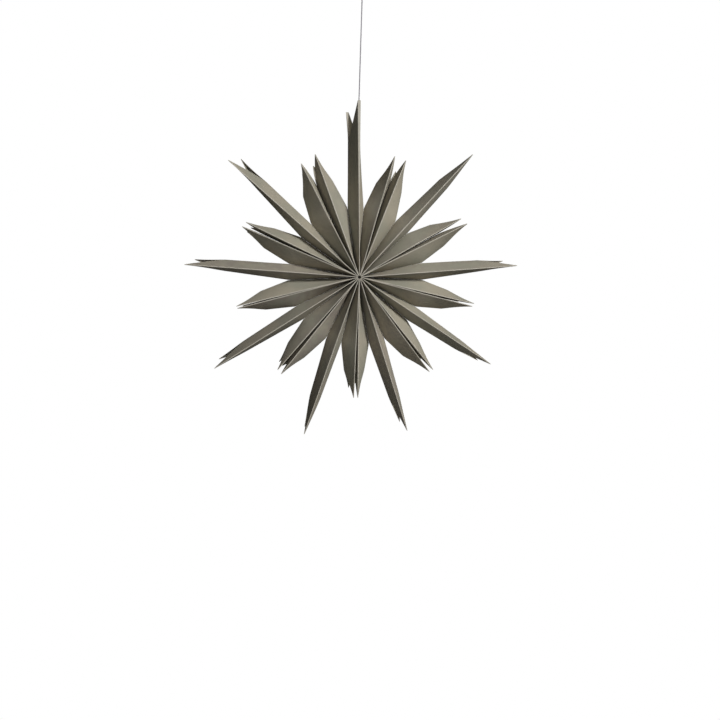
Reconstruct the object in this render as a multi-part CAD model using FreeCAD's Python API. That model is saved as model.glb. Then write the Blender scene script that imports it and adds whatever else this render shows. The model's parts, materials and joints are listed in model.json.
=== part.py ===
import FreeCAD, Part
import math
import os

# Hanging paper star: flat paper sleeves glued side by side like a fan that is
# opened all the way round. Units are millimetres. +Z is up, the star faces -Y,
# and the origin is where a hook bears in the top of the hanging loop.

# Driving sizes
longReach = 230.0  # hub centre to the tip of a long sleeve
shortReach = 168.5  # hub centre to the tip of a short sleeve
sleeveWidth = 50.0  # front fold to rear fold of a flat sleeve, the star's depth
paper = 0.3
unitCount = 9  # one unit is a short, a long and a short sleeve
gluedReach = 94.0  # hub centre to the outer end of the glue strips
glueStrip = 10.0  # width of a glue strip, front to rear
longNotch = 50.0  # how far a long sleeve's mouth is cut in between its two points
shortNotch = 26.0
longMouth = 0.62  # width left at a long sleeve's tip as a share of its width where the glue ends
shortMouth = 0.47  # the same for a short sleeve's outer wall; its inner one follows the pair's seam
hubRadius = 2.4  # hub centre to the closed ends of the sleeves
glueGap = 0.2  # clear space between neighbouring sleeves
foldWidth = 0.9  # outside width of a folded edge
leastFold = 0.1  # width left inside a fold where its two walls nearly meet
frontBow = 2.0  # how far the folds pull in where a sleeve is widest
closedEnd = 10.0  # flat glued stretch at the hub end, where a sleeve has no hollow
mouthOverrun = 3.0  # how far the hollow is cut past the tips

cordDiameter = 1.6
cordPocket = 0.5  # clear space round the stop knot inside the top sleeve's fold
cordRise = 150.0  # tip of the top sleeve to the loop's knot
loopHeight = 46.0  # knot to the top of the loop
loopWidth = 20.0
stopKnotLength = 5.0
stopKnotDiameter = 2.4
stopKnotDepth = 17.0  # tip of the top sleeve down to the stop knot's top
loopKnotLength = 8.0
loopKnotDiameter = 5.6

magnetDiameter = 8.0
magnetThickness = 1.0
magnetGap = 0.05  # glue film between a magnet and its wall
magnetReach = (50.0, 78.0)  # hub centre to the two magnets on an end sleeve

# Degrees by which each sleeve, or pair of short sleeves, stands off an even 40 degree spacing
longLean = (2.0, -1.5, -4.0, -1.0, -0.5, 2.0, 3.5, 8.0, 11.0)
pairLean = (2.5, -0.5, -1.5, 0.0, 0.0, 1.0, 5.5, 8.0, 6.0)
# Opening in degrees between the two short sleeves of each pair
pairOpening = (5.5, 3.5, 1.5, 2.0, 2.0, 2.5, 1.0, 2.5, 7.5)
# How much longer or shorter than the rest each sleeve was cut
longTrim = (0.5, 0.5, -0.5, 0.0, -1.0, 0.5, 1.5, 1.0, -3.5)
shortTrim = (2.0, -0.5, 0.0, -4.0, 1.0, 1.0, -0.5, 0.0, -1.0,
             -0.5, -0.5, 2.0, 0.5, 1.5, 2.0, 0.5, -2.0, -2.0)
# How far the free rear point of each long sleeve stands anticlockwise of its front point,
# and how much shorter it was cut
longTwist = (8.5, -4.5, 8.5, -1.0, 1.5, 5.0, -4.0, -10.0, -20.0)
rearTrim = (2.0, 0.0, 0.0, 0.0, 1.0, 0.0, 6.0, 7.5, 3.5)
longShare = 0.373  # share of the space between a long and a short fold that the long one fills

pitch = 360.0 / unitCount
halfWidth = sleeveWidth / 2
foldToCord = paper + cordPocket + stopKnotDiameter / 2
topReach = longReach + longTrim[0]
topAngle = math.radians(90 + longLean[0])
hub = FreeCAD.Vector(-topReach * math.cos(topAngle), halfWidth - foldToCord,
                     -loopHeight - cordRise - topReach * math.sin(topAngle))


def longAngle(unit):
    return 90 - pitch * unit + longLean[unit]


def pairAngle(pair):
    """Direction of the seam between the two short sleeves of a pair; -1 is the closing seam."""
    return 90 - pitch * (pair + 0.5) + pairLean[pair]


def section(reach, angle, widths, halfDepth, fold, twist):
    """Closed outline across a sleeve. widths are to its clockwise and anticlockwise sides."""
    strip = glueStrip / 2
    clockwise, anticlockwise = widths
    # near the hub a flat wall crosses the fold line, and the fold moves over with it
    left = min(clockwise, max(fold, leastFold - anticlockwise))
    right = min(anticlockwise, max(fold, leastFold - clockwise))
    outline = [(-left, -halfDepth), (-clockwise, -strip), (-clockwise, strip), (-left, halfDepth),
               (right, halfDepth), (anticlockwise, strip), (anticlockwise, -strip), (right, -halfDepth)]
    along, side = directions(angle)
    points = []
    for across, depth in outline:
        turned = across + twist * (depth + halfDepth) / (2 * halfDepth)
        points.append(hub + along * reach + side * turned + FreeCAD.Vector(0, depth, 0))
    return Part.makePolygon(points + points[:1])


def directions(angle):
    """Unit vectors out along a sleeve and anticlockwise across it."""
    turned = math.radians(angle)
    return (FreeCAD.Vector(math.cos(turned), 0, math.sin(turned)),
            FreeCAD.Vector(-math.sin(turned), 0, math.cos(turned)))


def sleeve(reach, angle, shares, mouths, notch, twist=0.0, tipFold=foldWidth / 2, shorterRear=0.0):
    """Paper tube with a flat-glued root and a V-cut mouth. shares are the degrees that its clockwise
    and anticlockwise halves fill, and mouths are the shares of their glued widths left at the tip."""

    def wallAt(at, share, mouth):
        glued = min(at, gluedReach) * math.tan(math.radians(share)) - glueGap / 2
        return glued + (max(glued * mouth, tipFold + paper) - glued) * freeShare(at)

    def freeShare(at):
        return min(1.0, max(0.0, (at - gluedReach) / (reach - gluedReach)))

    def loft(start, end, inset):
        outlines = []
        for at in (start, gluedReach, end):
            out = freeShare(at)
            bow = frontBow * (1 - out) if at > start else 0.0
            fold = foldWidth / 2 + (tipFold - foldWidth / 2) * out
            widths = [wallAt(at, share, mouth) - inset for share, mouth in zip(shares, mouths)]
            outlines.append(section(at, angle, widths, halfWidth - bow - inset, fold - inset, twist * out))
        return Part.makeLoft(outlines, True, True)

    outside = loft(hubRadius, reach, 0.0)
    hollow = loft(closedEnd, reach + mouthOverrun, paper)
    return outside.cut(hollow).cut(mouthCut(reach, angle, notch, shorterRear))


def mouthCut(reach, angle, notch, shorterRear):
    """Prism whose removal leaves a sleeve's mouth with a point at each fold."""
    across = 80.0
    beyond = reach + 60
    over = halfWidth + 10
    root = reach - notch
    front = root + notch * over / halfWidth
    rear = root + (notch - shorterRear) * over / halfWidth
    corners = ((root, 0), (rear, over), (beyond, over), (beyond, -over), (front, -over))
    along, side = directions(angle)
    points = [hub + along * out + FreeCAD.Vector(0, depth, 0) - side * across / 2 for out, depth in corners]
    return Part.Face(Part.makePolygon(points + points[:1])).extrude(side * across)


def magnets(angle, towards):
    """Two discs inside an end sleeve, on its wall along the closing seam, which lies at angle."""
    along, side = directions(angle)
    inward = side * towards
    discs = []
    for at in magnetReach:
        base = hub + along * at + inward * (glueGap / 2 + paper + magnetGap)
        discs.append(Part.makeCylinder(magnetDiameter / 2, magnetThickness, base, inward))
    return Part.makeCompound(discs)


def tube(points, diameter):
    """Tube along straight runs joined by tangent arcs."""
    edges = []
    start = points[0]
    for before, corner, after in zip(points, points[1:], points[2:]):
        back = (before - corner).normalize()
        ahead = (after - corner).normalize()
        half = (math.pi - back.getAngle(ahead)) / 2
        shorter = min((before - corner).Length, (after - corner).Length)
        trim = 0.45 * shorter
        bend = trim / math.tan(half)
        print("cord bend radius", round(bend, 1))
        enter = corner + back * trim
        leave = corner + ahead * trim
        inward = (back + ahead).normalize()
        middle = corner + inward * (bend / math.cos(half) - bend)
        edges.append(Part.LineSegment(start, enter).toShape())
        edges.append(Part.Arc(enter, middle, leave).toShape())
        start = leave
    edges.append(Part.LineSegment(start, points[-1]).toShape())
    path = Part.Wire(edges)
    heading = (points[1] - points[0]).normalize()
    profile = Part.Wire(Part.Circle(points[0], heading, diameter / 2).toShape())
    solid = path.makePipeShell([profile], True, False)
    print("cord tube", round(path.Length, 1), "mm, volume over section times length",
          round(solid.Volume / (math.pi * diameter**2 / 4 * path.Length), 4))
    return solid


def knot(bottom, length, diameter):
    """Barrel-shaped knot round the vertical cord."""
    half = length / 2
    end = diameter * 0.36
    arc = Part.Arc(FreeCAD.Vector(end, 0, 0), FreeCAD.Vector(diameter / 2, 0, half),
                   FreeCAD.Vector(end, 0, length)).toShape()
    lines = Part.makePolygon([FreeCAD.Vector(end, 0, length), FreeCAD.Vector(0, 0, length),
                              FreeCAD.Vector(0, 0, 0), FreeCAD.Vector(end, 0, 0)])
    face = Part.Face(Part.Wire([arc] + lines.Edges))
    solid = face.revolve(FreeCAD.Vector(0, 0, 0), FreeCAD.Vector(0, 0, 1), 360)
    solid.translate(FreeCAD.Vector(0, 0, bottom))
    return solid


parts = {}
alongSeam = shortReach / gluedReach
for unit in range(unitCount):
    first, last = 2 * unit, 2 * unit + 1
    opening, nextOpening = pairOpening[unit - 1] / 2, pairOpening[unit] / 2
    middle = longAngle(unit)
    before, after = pairAngle(unit - 1) - opening, pairAngle(unit) + nextOpening
    anticlockwise = (before - middle) * longShare
    clockwise = (middle - after) * longShare
    tipFold = foldWidth / 2 if unit else foldToCord
    parts[f"short_sleeve_{first + 1}"] = sleeve(shortReach + shortTrim[first], before,
                                                (before - middle - anticlockwise, opening),
                                                (shortMouth, alongSeam), shortNotch)
    parts[f"long_sleeve_{unit + 1}"] = sleeve(longReach + longTrim[unit], middle,
                                              (clockwise, anticlockwise), (longMouth, longMouth),
                                              longNotch, longTwist[unit], tipFold, rearTrim[unit])
    parts[f"short_sleeve_{last + 1}"] = sleeve(shortReach + shortTrim[last], after,
                                               (nextOpening, middle - after - clockwise),
                                               (alongSeam, shortMouth), shortNotch)

parts["closure_magnets_first"] = magnets(pairAngle(-1), -1)
parts["closure_magnets_last"] = magnets(pairAngle(-1), 1)

tipZ = -loopHeight - cordRise
stopTop = tipZ - stopKnotDepth
knotTop = -loopHeight
knotBottom = knotTop - loopKnotLength
parts["cord_stop_knot"] = knot(stopTop - stopKnotLength, stopKnotLength, stopKnotDiameter)
parts["hanging_cord"] = Part.makeCylinder(cordDiameter / 2, knotBottom - stopTop,
                                          FreeCAD.Vector(0, 0, stopTop))
parts["loop_knot"] = knot(knotBottom, loopKnotLength, loopKnotDiameter)
side = loopWidth / 2
spread = 1.1  # half the distance between the loop's two ends in its knot
parts["hanging_loop"] = tube([FreeCAD.Vector(x, 0, z) for x, z in (
    (spread, knotTop), (spread + 1, knotTop + 8), (side, -20), (side - 2, -4.8), (0, 2.2), (2 - side, -4.8),
    (-side, -20), (-spread - 1, knotTop + 8), (-spread, knotTop))], cordDiameter)

os.makedirs("parts", exist_ok=True)
for name, shape in parts.items():
    shape.exportStep(f"parts/{name}.step")
    print(name, "valid" if shape.isValid() else "NOT VALID", len(shape.Solids), round(shape.Volume, 1))
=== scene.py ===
import json
import math
import random

import bmesh
import bpy
from mathutils import Matrix, Vector, noise


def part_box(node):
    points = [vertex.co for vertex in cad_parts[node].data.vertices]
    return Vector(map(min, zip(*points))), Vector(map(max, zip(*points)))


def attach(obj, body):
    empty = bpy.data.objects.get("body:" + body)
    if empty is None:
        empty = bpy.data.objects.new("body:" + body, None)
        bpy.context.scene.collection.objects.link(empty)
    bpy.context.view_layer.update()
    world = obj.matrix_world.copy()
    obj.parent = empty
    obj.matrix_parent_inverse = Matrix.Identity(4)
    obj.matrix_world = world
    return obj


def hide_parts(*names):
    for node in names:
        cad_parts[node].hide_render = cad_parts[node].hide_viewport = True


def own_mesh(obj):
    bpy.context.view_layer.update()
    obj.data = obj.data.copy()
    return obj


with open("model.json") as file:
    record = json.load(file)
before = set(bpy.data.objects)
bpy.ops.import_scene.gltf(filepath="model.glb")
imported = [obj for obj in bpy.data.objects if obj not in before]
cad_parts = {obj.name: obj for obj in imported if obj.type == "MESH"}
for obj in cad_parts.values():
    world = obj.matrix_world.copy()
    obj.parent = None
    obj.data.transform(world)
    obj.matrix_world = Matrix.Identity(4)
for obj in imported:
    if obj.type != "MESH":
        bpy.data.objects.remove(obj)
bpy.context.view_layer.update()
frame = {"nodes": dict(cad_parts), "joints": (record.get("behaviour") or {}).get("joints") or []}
random.seed(7)

foldJoint = next(joint for joint in frame["joints"] if joint["name"] == "fan_fold")
hub = Vector(foldJoint["pos_m"])


# Camera: a little left of the star, close in front of it and level with its hub

viewing = {
    "fromHub": (-0.1389, -0.8214, -0.0128),
    "turn": -10.191,  # degrees, clockwise seen from above
    "tilt": -7.15,
    "roll": -1.873,
    "lens": 29.279,
}


def addCamera():
    data = bpy.data.cameras.new("starCamera")
    data.lens = viewing["lens"]
    data.sensor_width = 36
    data.clip_end = 50
    camera = bpy.data.objects.new("starCamera", data)
    bpy.context.collection.objects.link(camera)
    place = Matrix.Translation(hub + Vector(viewing["fromHub"]))
    turn = Matrix.Rotation(math.radians(viewing["turn"]), 4, "Z")
    tilt = Matrix.Rotation(math.radians(viewing["tilt"]), 4, "X")
    roll = Matrix.Rotation(math.radians(viewing["roll"]), 4, "Y")
    upright = Matrix.Rotation(math.radians(90), 4, "X")
    camera.matrix_world = place @ turn @ tilt @ roll @ upright
    bpy.context.scene.camera = camera


addCamera()
print("camera placed")


# Shared steps for modelling

def selectOnly(piece):
    bpy.ops.object.select_all(action="DESELECT")
    piece.select_set(True)
    bpy.context.view_layer.objects.active = piece


def selectWhere(piece, kind, test):
    # kind is "edges" or "faces"; everything else is deselected
    shape = bmesh.from_edit_mesh(piece.data)
    bpy.ops.mesh.select_all(action="DESELECT")
    bpy.ops.mesh.select_mode(type="EDGE" if kind == "edges" else "FACE")
    for item in getattr(shape, kind):
        if test(item):
            item.select_set(True)
    bmesh.update_edit_mesh(piece.data)


def runsAlong(edge, axis):
    run = edge.verts[1].co - edge.verts[0].co
    return abs(run[axis]) > 0.99 * run.length


# Node helpers for materials

def addNode(tree, kind, **settings):
    node = tree.nodes.new(kind)
    for name, value in settings.items():
        setattr(node, name, value)
    return node


def join(tree, source, output, target, entry):
    tree.links.new(source.outputs[output], target.inputs[entry])


def openGroup(name, inputs, outputs):
    tree = bpy.data.node_groups.new(name, "ShaderNodeTree")
    for socket, kind, value in inputs:
        made = tree.interface.new_socket(socket, in_out="INPUT", socket_type=kind)
        if value is not None:
            made.default_value = value
    for socket, kind in outputs:
        tree.interface.new_socket(socket, in_out="OUTPUT", socket_type=kind)
    return tree, addNode(tree, "NodeGroupInput"), addNode(tree, "NodeGroupOutput")


def placeGroup(tree, group, **values):
    node = addNode(tree, "ShaderNodeGroup", node_tree=group)
    for name, value in values.items():
        node.inputs[name].default_value = value
    return node


def mixColours(tree, factor, first, second):
    # factor is (node, output); first and second are a colour or (node, output)
    mix = addNode(tree, "ShaderNodeMix", data_type="RGBA")
    join(tree, factor[0], factor[1], mix, 0)
    for entry, colour in ((6, first), (7, second)):
        if isinstance(colour[0], bpy.types.Node):
            join(tree, colour[0], colour[1], mix, entry)
        else:
            mix.inputs[entry].default_value = (*colour, 1)
    return mix


# Soft cloudy patches, 0 to 1
def cloudGroup():
    tree, start, end = openGroup(
        "softClouds",
        [("Place", "NodeSocketVector", None), ("Scale", "NodeSocketFloat", 20.0),
         ("Detail", "NodeSocketFloat", 4.0), ("From", "NodeSocketFloat", 0.35),
         ("To", "NodeSocketFloat", 0.65)],
        [("Mask", "NodeSocketFloat")])
    cloud = addNode(tree, "ShaderNodeTexNoise")
    cloud.inputs["Roughness"].default_value = 0.55
    spread = addNode(tree, "ShaderNodeMapRange", interpolation_type="SMOOTHSTEP")
    join(tree, start, "Place", cloud, "Vector")
    join(tree, start, "Scale", cloud, "Scale")
    join(tree, start, "Detail", cloud, "Detail")
    join(tree, cloud, "Fac", spread, "Value")
    join(tree, start, "From", spread, "From Min")
    join(tree, start, "To", spread, "From Max")
    join(tree, spread, "Result", end, "Mask")
    return tree


# Short fibres lying two ways, as in uncoated paper
def fibreGroup():
    tree, start, end = openGroup(
        "crossedFibres",
        [("Place", "NodeSocketVector", None), ("Scale", "NodeSocketFloat", 900.0)],
        [("Mask", "NodeSocketFloat"), ("Height", "NodeSocketFloat")])
    blend = addNode(tree, "ShaderNodeMath", operation="MAXIMUM")
    for entry, turned in enumerate((25, -48)):
        lay = addNode(tree, "ShaderNodeMapping")
        lay.inputs["Rotation"].default_value = (0, 0, math.radians(turned))
        lay.inputs["Scale"].default_value = (0.16, 1, 1)
        strand = addNode(tree, "ShaderNodeTexNoise")
        strand.inputs["Detail"].default_value = 3
        strand.inputs["Distortion"].default_value = 0.6
        join(tree, start, "Place", lay, "Vector")
        join(tree, start, "Scale", strand, "Scale")
        join(tree, lay, "Vector", strand, "Vector")
        join(tree, strand, "Fac", blend, entry)
    spread = addNode(tree, "ShaderNodeMapRange")
    spread.inputs["From Min"].default_value = 0.42
    spread.inputs["From Max"].default_value = 0.72
    join(tree, blend, "Value", spread, "Value")
    join(tree, spread, "Result", end, "Mask")
    join(tree, blend, "Value", end, "Height")
    return tree


# A band next to a line: 1 on the line, fading to 0 at Width metres from it
def bandGroup():
    tree, start, end = openGroup(
        "bandBesideLine",
        [("Distance", "NodeSocketFloat", 0.0), ("Width", "NodeSocketFloat", 0.001)],
        [("Mask", "NodeSocketFloat")])
    fade = addNode(tree, "ShaderNodeMapRange", interpolation_type="SMOOTHSTEP")
    fade.inputs["To Min"].default_value = 1
    fade.inputs["To Max"].default_value = 0
    join(tree, start, "Distance", fade, "Value")
    join(tree, start, "Width", fade, "From Max")
    join(tree, fade, "Result", end, "Mask")
    return tree


softClouds = cloudGroup()
crossedFibres = fibreGroup()
bandBesideLine = bandGroup()


# Paper

paperLook = {
    "warm": (0.330, 0.298, 0.228),
    "green": (0.262, 0.256, 0.200),
    "plum": (0.245, 0.212, 0.180),
    # fold: paler paper for rubbed cut edges, also used for the painted highlight along the folds
    "fold": (0.46, 0.43, 0.37),
    "cutEdge": (0.42, 0.39, 0.32),
    "fibre": (0.40, 0.375, 0.31),
    "foldWidth": 0.0011,
    "edgeWidth": 0.0007,
    "roughness": 0.88,
}


def paperMaterial(name, cut):
    look = bpy.data.materials.new(name)
    look.use_nodes = True
    tree = look.node_tree
    shader = tree.nodes["Principled BSDF"]
    place = addNode(tree, "ShaderNodeUVMap", uv_map="paper")
    broad = placeGroup(tree, softClouds, Scale=17.0, Detail=3.0, From=0.36, To=0.66)
    fine = placeGroup(tree, softClouds, Scale=85.0, Detail=5.0, From=0.30, To=0.72)
    fibres = placeGroup(tree, crossedFibres, Scale=1300.0)
    for group in (broad, fine, fibres):
        join(tree, place, "UV", group, "Place")
    tone = addNode(tree, "ShaderNodeAttribute", attribute_name="tone")
    toneShare = addNode(tree, "ShaderNodeMath", operation="MULTIPLY")
    join(tree, tone, "Fac", toneShare, 0)
    join(tree, fine, "Mask", toneShare, 1)
    if cut:
        body = mixColours(tree, (fine, "Mask"), paperLook["cutEdge"], paperLook["fold"])
    else:
        ground = mixColours(tree, (broad, "Mask"), paperLook["warm"], paperLook["green"])
        body = mixColours(tree, (toneShare, "Value"), (ground, 2), paperLook["plum"])
    flecked = addNode(tree, "ShaderNodeMath", operation="MULTIPLY")
    flecked.inputs[1].default_value = 0.22
    join(tree, fibres, "Mask", flecked, 0)
    body = mixColours(tree, (flecked, "Value"), (body, 2), paperLook["fibre"])
    # folds are painted paler, a painted highlight where the fold faces the light together with some rubbed
    # paper; cut edges are rubbed paler
    foldLine = addNode(tree, "ShaderNodeAttribute", attribute_name="foldDistance")
    mouthLine = addNode(tree, "ShaderNodeAttribute", attribute_name="mouthDistance")
    foldBand = placeGroup(tree, bandBesideLine, Width=paperLook["foldWidth"])
    mouthBand = placeGroup(tree, bandBesideLine, Width=paperLook["edgeWidth"])
    join(tree, foldLine, "Fac", foldBand, "Distance")
    join(tree, mouthLine, "Fac", mouthBand, "Distance")
    wornAndLitBand = addNode(tree, "ShaderNodeMath", operation="MAXIMUM")
    join(tree, foldBand, "Mask", wornAndLitBand, 0)
    join(tree, mouthBand, "Mask", wornAndLitBand, 1)
    uneven = addNode(tree, "ShaderNodeMapRange")
    uneven.inputs["To Min"].default_value = 0.5
    uneven.inputs["To Max"].default_value = 0.95
    join(tree, fine, "Mask", uneven, "Value")
    # painted highlight along the folds plus rubbed paler cut edges, varied by the fine clouds
    wearAndHighlight = addNode(tree, "ShaderNodeMath", operation="MULTIPLY")
    join(tree, wornAndLitBand, "Value", wearAndHighlight, 0)
    join(tree, uneven, "Result", wearAndHighlight, 1)
    body = mixColours(tree, (wearAndHighlight, "Value"), (body, 2), paperLook["fold"])
    join(tree, body, 2, shader, "Base Color")
    bump = addNode(tree, "ShaderNodeBump")
    bump.inputs["Strength"].default_value = 0.35
    bump.inputs["Distance"].default_value = 0.00006
    join(tree, fibres, "Height", bump, "Height")
    join(tree, bump, "Normal", shader, "Normal")
    shader.inputs["Roughness"].default_value = paperLook["roughness"]
    shader.inputs["Specular IOR Level"].default_value = 0.25
    return look


paperFace = paperMaterial("paperFace", False)
paperCut = paperMaterial("paperCut", True)


# Sleeves: one blank is modelled, and each sleeve is a copy drawn out to its own size

sleeveShape = {
    "start": 0.0024,  # hub centre to the closed end
    "gluedReach": 0.094,
    "longNotch": 0.050,  # how far a mouth is cut in between its two points
    "shortNotch": 0.036,
    "longMouth": 0.55,  # width left at the tip as a share of the width where the glue ends
    "shortMouth": 0.40,  # the same for a short sleeve's outer wall
    "thickness": 0.0003,
    "fold": 0.00045,  # half the outside width of a fold
    "cordFold": 0.0020,  # the same at the tip of the top sleeve, round the cord
    "foldRound": 0.00012,
    "bow": 0.002,  # how far the folds pull in where a sleeve is widest
    "gap": 0.00004,
    "longShare": 0.373,  # of the space to a short neighbour
    "bulge": 1.18,  # 1 is flat walls, more is fuller ones
    "alongCuts": 39,
    "depthCuts": 19,
    "shortRear": 0.006,  # how much shorter the rear point of a short sleeve was cut
    "rearNudge": {"short_sleeve_2": -0.005, "short_sleeve_18": -0.003},  # rear points pushed clockwise
    "wave": 0.0005,  # soft unevenness of the free walls
    "waveScale": 22,
    "waveAtGlue": 0.25,  # share of the wave left beside the glue strips
    "smoothBelow": 28,  # degrees between faces that shade as one
    "keep": 0.06,  # share of its thickness that a sleeve keeps in the closed fan
}


def makeBlank():
    # x runs 0 to 1 from the hub to the mouth, y -1 to 1 front to rear, z -1 to 1 across
    bpy.ops.object.select_all(action="DESELECT")
    bpy.ops.mesh.primitive_cube_add(size=1, location=(0.5, 0, 0), scale=(1, 2, 2))
    blank = bpy.context.object
    blank.name = "sleeveBlank"
    bpy.ops.object.transform_apply(location=True, rotation=True, scale=True)
    bpy.ops.object.mode_set(mode="EDIT")
    for axis, cuts in ((0, sleeveShape["alongCuts"]), (1, sleeveShape["depthCuts"]), (2, 1)):
        selectWhere(blank, "edges", lambda edge: runsAlong(edge, axis))
        bpy.ops.mesh.subdivide(number_cuts=cuts)
    selectWhere(blank, "faces", lambda face: abs(face.normal.x) > 0.9)
    bpy.ops.mesh.delete(type="FACE")
    bpy.ops.object.mode_set(mode="OBJECT")
    return blank


def tipOf(node, front):
    # direction in degrees and distance from the hub of a CAD sleeve's front or rear point
    points = [vertex.co for vertex in frame["nodes"][node].data.vertices]
    limit = (min if front else max)(point.y for point in points)
    outer = [point - hub for point in points if abs(point.y - limit) < 0.001]
    reach = max(math.hypot(point.x, point.z) for point in outer)
    tips = [point for point in outer if math.hypot(point.x, point.z) > reach - 0.0004]
    middle = sum(tips, Vector()) / len(tips)
    return math.degrees(math.atan2(middle.z, middle.x)), math.hypot(middle.x, middle.z)


def listSleeves():
    # sleeves in fan order, clockwise: each unit is a short, a long and a short one
    names = []
    for unit in range(1, 10):
        names += [f"short_sleeve_{2 * unit - 1}", f"long_sleeve_{unit}", f"short_sleeve_{2 * unit}"]
    sleeves = []
    for name in names:
        angle, reach = tipOf(name, True)
        rearAngle, rearReach = tipOf(name, False)
        lean = math.radians(rearAngle - angle)
        if name.startswith("short"):
            rearReach -= sleeveShape["shortRear"]
        nudge = sleeveShape["rearNudge"].get(name, 0)
        sleeves.append({"name": name, "angle": angle, "reach": reach, "long": name.startswith("long"),
                        "rearShift": rearReach * math.sin(lean) + nudge,
                        "rearReach": rearReach * math.cos(lean)})
    for sleeve, nextOne in zip(sleeves, sleeves[1:] + sleeves[:1]):
        space = (sleeve["angle"] - nextOne["angle"]) % 360
        share = 0.5
        if sleeve["long"]:
            share = sleeveShape["longShare"]
        elif nextOne["long"]:
            share = 1 - sleeveShape["longShare"]
        sleeve["clockwise"] = space * share
        nextOne["anticlockwise"] = space * (1 - share)
        # the walls between a pair of short sleeves keep touching along the pair's seam
        paired = not sleeve["long"] and not nextOne["long"]
        sleeve["clockwiseOnSeam"] = nextOne["anticlockwiseOnSeam"] = paired
    return sleeves


def drawOut(sleeve, blank, seed):
    # copies the blank and gives every vertex its place by formula
    shape = sleeveShape
    piece = blank.copy()
    piece.data = blank.data.copy()
    piece.name = f"{sleeve['name']}_paper"
    bpy.context.collection.objects.link(piece)
    reach, glued = sleeve["reach"], shape["gluedReach"]
    lowest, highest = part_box(sleeve["name"])
    half = (highest[1] - lowest[1]) / 2
    kind = "long" if sleeve["long"] else "short"
    notch = reach - shape[f"{kind}Notch"]
    tipFold = shape["cordFold"] if sleeve["name"] == "long_sleeve_1" else shape["fold"]
    mesh = piece.data
    foldDistance = mesh.attributes.new("foldDistance", "FLOAT", "POINT")
    mouthDistance = mesh.attributes.new("mouthDistance", "FLOAT", "POINT")
    tone = mesh.attributes.new("tone", "FLOAT", "POINT")
    sheet = []
    for vertex in mesh.vertices:
        along, depth, side = vertex.co
        depth = math.sin(depth * math.pi / 2)  # rows lie closer together near the folds
        point = abs(depth)
        mouth = notch + ((reach if depth < 0 else sleeve["rearReach"]) - notch) * point
        out = shape["start"] + (mouth - shape["start"]) * along
        free = min(1, max(0, (out - glued) / (reach - glued)))
        fold = shape["fold"] + (tipFold - shape["fold"]) * free
        flank = "anticlockwise" if side > 0 else "clockwise"
        touching = out if sleeve[f"{flank}OnSeam"] else min(out, glued)
        width = touching * math.tan(math.radians(sleeve[flank])) - shape["gap"] / 2
        if touching < out:
            width = max(width * (1 - (1 - shape[f"{kind}Mouth"]) * free), tipFold + shape["thickness"])
        foldSide = min(fold, width)
        crown = 1 - point**shape["bulge"]
        across = foldSide + (width - foldSide) * crown
        loose = shape["waveAtGlue"] * (1 - crown) + free * crown
        dent = noise.noise(Vector((out * shape["waveScale"], side * 3 + depth * 0.9, seed * 5.3)))
        across -= shape["wave"] * loose * (1 - point**6) * (0.6 + dent) * (1 - free**3)
        bow = shape["bow"] * min(out / glued, 1) * (1 - free)
        deep = depth * (half - bow)
        if point > 0.999 and side != 0:
            deep -= math.copysign(shape["foldRound"], depth)
        turned = sleeve["rearShift"] * free * (depth + 1) / 2
        vertex.co = (out, deep, across * side + turned)
        foldDistance.data[vertex.index].value = half * (1 - point)
        mouthDistance.data[vertex.index].value = mouth - out
        tone.data[vertex.index].value = sleeve["tone"]
        sheet.append((out + seed * 0.31, (1 + depth) * half * (1 if side >= 0 else -1) + seed * 0.17))
    layer = mesh.uv_layers.new(name="paper")
    for loop in mesh.loops:
        layer.data[loop.index].uv = sheet[loop.vertex_index]
    return piece


def finishSleeve(piece, sleeve):
    selectOnly(piece)
    bpy.ops.object.mode_set(mode="EDIT")
    bpy.ops.mesh.select_all(action="SELECT")
    bpy.ops.mesh.remove_doubles(threshold=0.00001)
    bpy.ops.mesh.normals_make_consistent(inside=False)
    bpy.ops.object.mode_set(mode="OBJECT")
    piece.data.materials.append(paperFace)
    piece.data.materials.append(paperCut)
    solidify = piece.modifiers.new("paperThickness", "SOLIDIFY")
    solidify.thickness = sleeveShape["thickness"]
    solidify.offset = -1
    solidify.material_offset_rim = 1
    bpy.ops.object.modifier_apply(modifier=solidify.name)
    turn = Matrix.Rotation(math.radians(-sleeve["angle"]), 4, "Y")
    piece.data.transform(Matrix.Translation(hub) @ turn)
    bpy.ops.object.shade_smooth_by_angle(angle=math.radians(sleeveShape["smoothBelow"]))


def addSleeves():
    blank = makeBlank()
    sleeves = listSleeves()
    for number, sleeve in enumerate(sleeves):
        sleeve["tone"] = random.uniform(0.1, 1.0)
        piece = drawOut(sleeve, blank, number + 1)
        finishSleeve(piece, sleeve)
        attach(piece, sleeve["name"].replace("_sleeve", ""))
        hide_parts(sleeve["name"])
        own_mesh(piece)
    bpy.data.objects.remove(blank)
    print(len(sleeves), "paper sleeves made")


addSleeves()


# Cord, its knots and its loop

cordShape = {
    "diameter": 0.0016,
    "lay": 0.0055,  # length of one full twist of the strands
    "strands": 3,
    "strandShare": 0.27,  # radius of a strand as a share of the cord's thickness
    "stopThread": 0.0008,  # thickness of the turns in the stop knot
    "stopTop": -0.213,
    "stopLength": 0.005,
    "stopDiameter": 0.0024,
    "knotBottom": -0.054,
    "knotTop": -0.046,
    "knotDiameter": 0.0056,
    "loopRoute": ((0.0011, -0.046), (0.0021, -0.038), (0.010, -0.020), (0.008, -0.0048), (0, 0.0022),
                  (-0.008, -0.0048), (-0.010, -0.020), (-0.0021, -0.038), (-0.0011, -0.046)),
}


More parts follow.
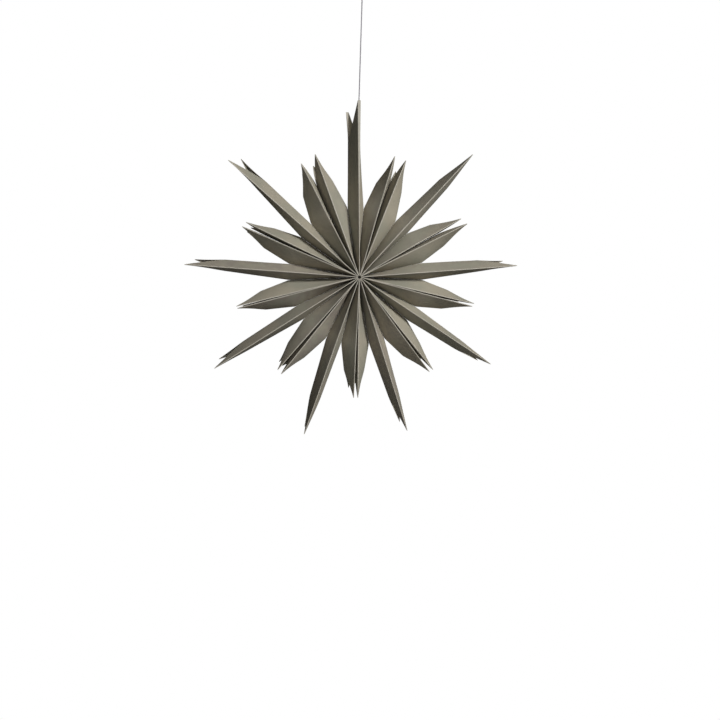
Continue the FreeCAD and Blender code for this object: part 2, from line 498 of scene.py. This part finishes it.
def cordMaterial():
    look = bpy.data.materials.new("cordThread")
    look.use_nodes = True
    tree = look.node_tree
    shader = tree.nodes["Principled BSDF"]
    place = addNode(tree, "ShaderNodeTexCoord")
    cloud = placeGroup(tree, softClouds, Scale=300.0, Detail=4.0, From=0.3, To=0.7)
    fibres = placeGroup(tree, crossedFibres, Scale=9000.0)
    join(tree, place, "Object", cloud, "Place")
    join(tree, place, "Object", fibres, "Place")
    body = mixColours(tree, (cloud, "Mask"), (0.20, 0.185, 0.215), (0.30, 0.285, 0.31))
    hairs = addNode(tree, "ShaderNodeMath", operation="MULTIPLY")
    hairs.inputs[1].default_value = 0.5
    join(tree, fibres, "Mask", hairs, 0)
    body = mixColours(tree, (hairs, "Value"), (body, 2), (0.45, 0.43, 0.45))
    join(tree, body, 2, shader, "Base Color")
    bump = addNode(tree, "ShaderNodeBump")
    bump.inputs["Strength"].default_value = 0.6
    bump.inputs["Distance"].default_value = 0.00005
    join(tree, fibres, "Height", bump, "Height")
    join(tree, bump, "Normal", shader, "Normal")
    shader.inputs["Roughness"].default_value = 0.8
    return look


def readRoute(route):
    # points along the smooth NURBS line through the route
    data = bpy.data.curves.new("route", "CURVE")
    data.dimensions = "3D"
    spline = data.splines.new("NURBS")
    spline.points.add(len(route) - 1)
    for point, place in zip(spline.points, route):
        point.co = (*place, 1)
    spline.order_u = 3
    spline.use_endpoint_u = True
    spline.resolution_u = 24
    line = bpy.data.objects.new("route", data)
    bpy.context.collection.objects.link(line)
    bpy.context.view_layer.update()
    mesh = bpy.data.meshes.new_from_object(line)
    points = [vertex.co.copy() for vertex in mesh.vertices]
    bpy.data.objects.remove(line)
    bpy.data.meshes.remove(mesh)
    return points


def evenly(points, step):
    # the same line with points a step apart
    lengths = [0]
    for first, second in zip(points, points[1:]):
        lengths.append(lengths[-1] + (second - first).length)
    count = max(2, round(lengths[-1] / step))
    even, at = [], 0
    for index in range(count + 1):
        wanted = lengths[-1] * index / count
        while at < len(points) - 2 and lengths[at + 1] < wanted:
            at += 1
        share = (wanted - lengths[at]) / max(1e-9, lengths[at + 1] - lengths[at])
        even.append(points[at].lerp(points[at + 1], min(1, share)))
    return even, lengths[-1]


def twistedCord(name, points, diameter, look):
    # strands wound round a line, each a round bar along its own helix
    lay = cordShape["lay"] * diameter / cordShape["diameter"]
    even, length = evenly(points, lay / 14)
    strand = diameter * cordShape["strandShare"]
    offset = diameter / 2 - strand
    aside = Vector((0, 1, 0))
    bars = []
    frames = []
    for index, point in enumerate(even):
        ahead = (even[min(index + 1, len(even) - 1)] - even[max(index - 1, 0)]).normalized()
        aside = (aside - ahead * aside.dot(ahead)).normalized()
        frames.append((point, aside.copy(), ahead.cross(aside)))
    for number in range(cordShape["strands"]):
        data = bpy.data.curves.new(f"{name}Bar", "CURVE")
        data.dimensions = "3D"
        data.bevel_depth = strand
        data.bevel_resolution = 2
        data.use_fill_caps = True
        spline = data.splines.new("POLY")
        spline.points.add(len(frames) - 1)
        for index, (point, first, second) in enumerate(frames):
            turned = 2 * math.pi * (index * length / (len(frames) - 1) / lay + number / cordShape["strands"])
            place = point + (first * math.cos(turned) + second * math.sin(turned)) * offset
            spline.points[index].co = (*place, 1)
        bar = bpy.data.objects.new(f"{name}Bar", data)
        bpy.context.collection.objects.link(bar)
        bars.append(bar)
    bpy.ops.object.select_all(action="DESELECT")
    for bar in bars:
        bar.select_set(True)
    bpy.context.view_layer.objects.active = bars[0]
    bpy.ops.object.convert(target="MESH")
    bpy.ops.object.join()
    cord = bpy.context.object
    cord.name = name
    cord.data.materials.clear()
    cord.data.materials.append(look)
    bpy.ops.object.shade_smooth()
    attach(cord, "hanger")
    return cord, even, length


def windings(bottom, top, middle, inside, pitch):
    # turns wound round the cord, whose ends are tucked in
    turns = (top - bottom) / pitch - 1
    steps = round(turns * 16)
    points = [Vector((inside, 0, bottom + pitch * 0.5))]
    for step in range(steps + 1):
        turned = 2 * math.pi * step / 16
        rise = bottom + pitch * 0.5 + (top - bottom - pitch) * step / steps
        points.append(Vector((middle * math.cos(turned), middle * math.sin(turned), rise)))
    points.append(Vector((inside, 0, top - pitch * 0.5)))
    return points


def addCord():
    shape = cordShape
    look = cordMaterial()
    middle = (shape["stopTop"] + shape["knotBottom"]) / 2
    straight = readRoute([(0, 0, shape["stopTop"]), (0, 0, middle), (0, 0, shape["knotBottom"])])
    cord, cordLine, cordLength = twistedCord("starCord", straight, shape["diameter"], look)
    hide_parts("hanging_cord")
    route = readRoute([(x, 0, z) for x, z in shape["loopRoute"]])
    loop, loopLine, loopLength = twistedCord("starLoop", route, shape["diameter"], look)
    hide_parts("hanging_loop")
    turns = windings(shape["knotBottom"], shape["knotTop"], (shape["knotDiameter"] - shape["diameter"]) / 2,
                     0.0006, shape["diameter"])
    knot, _, _ = twistedCord("loopKnotTurns", turns, shape["diameter"], look)
    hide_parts("loop_knot")
    thread = shape["stopThread"]
    turns = windings(shape["stopTop"] - shape["stopLength"], shape["stopTop"],
                     (shape["stopDiameter"] - thread) / 2, 0.0002, thread)
    stop, _, _ = twistedCord("stopKnotTurns", turns, thread, look)
    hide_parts("cord_stop_knot")
    print("cord", round(cordLength, 4), "loop", round(loopLength, 4))


addCord()


# Closing magnets keep their CAD shape and get a brushed plated finish

def magnetMaterial():
    look = bpy.data.materials.new("brushedPlate")
    look.use_nodes = True
    tree = look.node_tree
    shader = tree.nodes["Principled BSDF"]
    place = addNode(tree, "ShaderNodeTexCoord")
    lay = addNode(tree, "ShaderNodeMapping")
    lay.inputs["Scale"].default_value = (1, 14, 1)
    scratch = addNode(tree, "ShaderNodeTexNoise")
    scratch.inputs["Scale"].default_value = 900
    scratch.inputs["Detail"].default_value = 5
    join(tree, place, "Object", lay, "Vector")
    join(tree, lay, "Vector", scratch, "Vector")
    tint = mixColours(tree, (scratch, "Fac"), (0.52, 0.52, 0.53), (0.72, 0.72, 0.71))
    join(tree, tint, 2, shader, "Base Color")
    rough = addNode(tree, "ShaderNodeMapRange")
    rough.inputs["To Min"].default_value = 0.22
    rough.inputs["To Max"].default_value = 0.48
    join(tree, scratch, "Fac", rough, "Value")
    join(tree, rough, "Result", shader, "Roughness")
    shader.inputs["Metallic"].default_value = 1
    return look


brushedPlate = magnetMaterial()
for name in ("closure_magnets_first", "closure_magnets_last"):
    magnets = frame["nodes"][name]
    if not magnets.data.materials:
        magnets.data.materials.append(None)
    for slotted in magnets.material_slots:
        slotted.link = "OBJECT"
        slotted.material = brushedPlate
print("magnets finished")


# Pale floor, white surroundings and soft studio light

studio = {
    "floorBelow": 0.75,  # hub centre down to the floor
    "floorSize": 60,
    "key": {"from": (0.90, -1.40, 0.85), "size": 0.5, "power": 34},
    "fill": {"from": (-0.3, -1.75, 0.15), "size": 0.8, "power": 6},
    "back": {"from": (0.4, 1.6, 1.0), "size": 1.6, "power": 3},
    "surround": 0.02,
}


def addFloor():
    bpy.ops.object.select_all(action="DESELECT")
    under = hub - Vector((0, 0, studio["floorBelow"]))
    bpy.ops.mesh.primitive_plane_add(size=studio["floorSize"], location=under)
    floor = bpy.context.object
    floor.name = "floor"
    look = bpy.data.materials.new("paleFloor")
    look.use_nodes = True
    tree = look.node_tree
    shader = tree.nodes["Principled BSDF"]
    shader.inputs["Base Color"].default_value = (0.28, 0.28, 0.28, 1)
    shader.inputs["Roughness"].default_value = 0.9
    seen = addNode(tree, "ShaderNodeLightPath")
    white = addNode(tree, "ShaderNodeEmission")
    white.inputs["Strength"].default_value = 1.0
    mix = addNode(tree, "ShaderNodeMixShader")
    join(tree, seen, "Is Camera Ray", mix, 0)
    join(tree, shader, "BSDF", mix, 1)
    join(tree, white, "Emission", mix, 2)
    join(tree, mix, "Shader", tree.nodes["Material Output"], "Surface")
    floor.data.materials.append(look)


def addLight(name, values):
    data = bpy.data.lights.new(name, "AREA")
    data.shape = "DISK"
    data.size = values["size"]
    data.energy = values["power"]
    light = bpy.data.objects.new(name, data)
    bpy.context.collection.objects.link(light)
    place = hub + Vector(values["from"])
    aim = (place - hub).to_track_quat("Z", "Y").to_matrix().to_4x4()
    light.matrix_world = Matrix.Translation(place) @ aim


def addSurround():
    world = bpy.data.worlds.new("studioWhite")
    world.use_nodes = True
    bpy.context.scene.world = world
    tree = world.node_tree
    dim = tree.nodes["Background"]
    dim.inputs["Color"].default_value = (1, 1, 1, 1)
    dim.inputs["Strength"].default_value = studio["surround"]
    white = addNode(tree, "ShaderNodeBackground")
    white.inputs["Color"].default_value = (1, 1, 1, 1)
    seen = addNode(tree, "ShaderNodeLightPath")
    mix = addNode(tree, "ShaderNodeMixShader")
    join(tree, seen, "Is Camera Ray", mix, 0)
    join(tree, dim, "Background", mix, 1)
    join(tree, white, "Background", mix, 2)
    join(tree, mix, "Shader", tree.nodes["World Output"], "Surface")


addFloor()
for lamp in ("key", "fill", "back"):
    addLight(f"{lamp}Light", studio[lamp])
addSurround()
bpy.context.scene.view_settings.view_transform = "Standard"
print("studio ready")
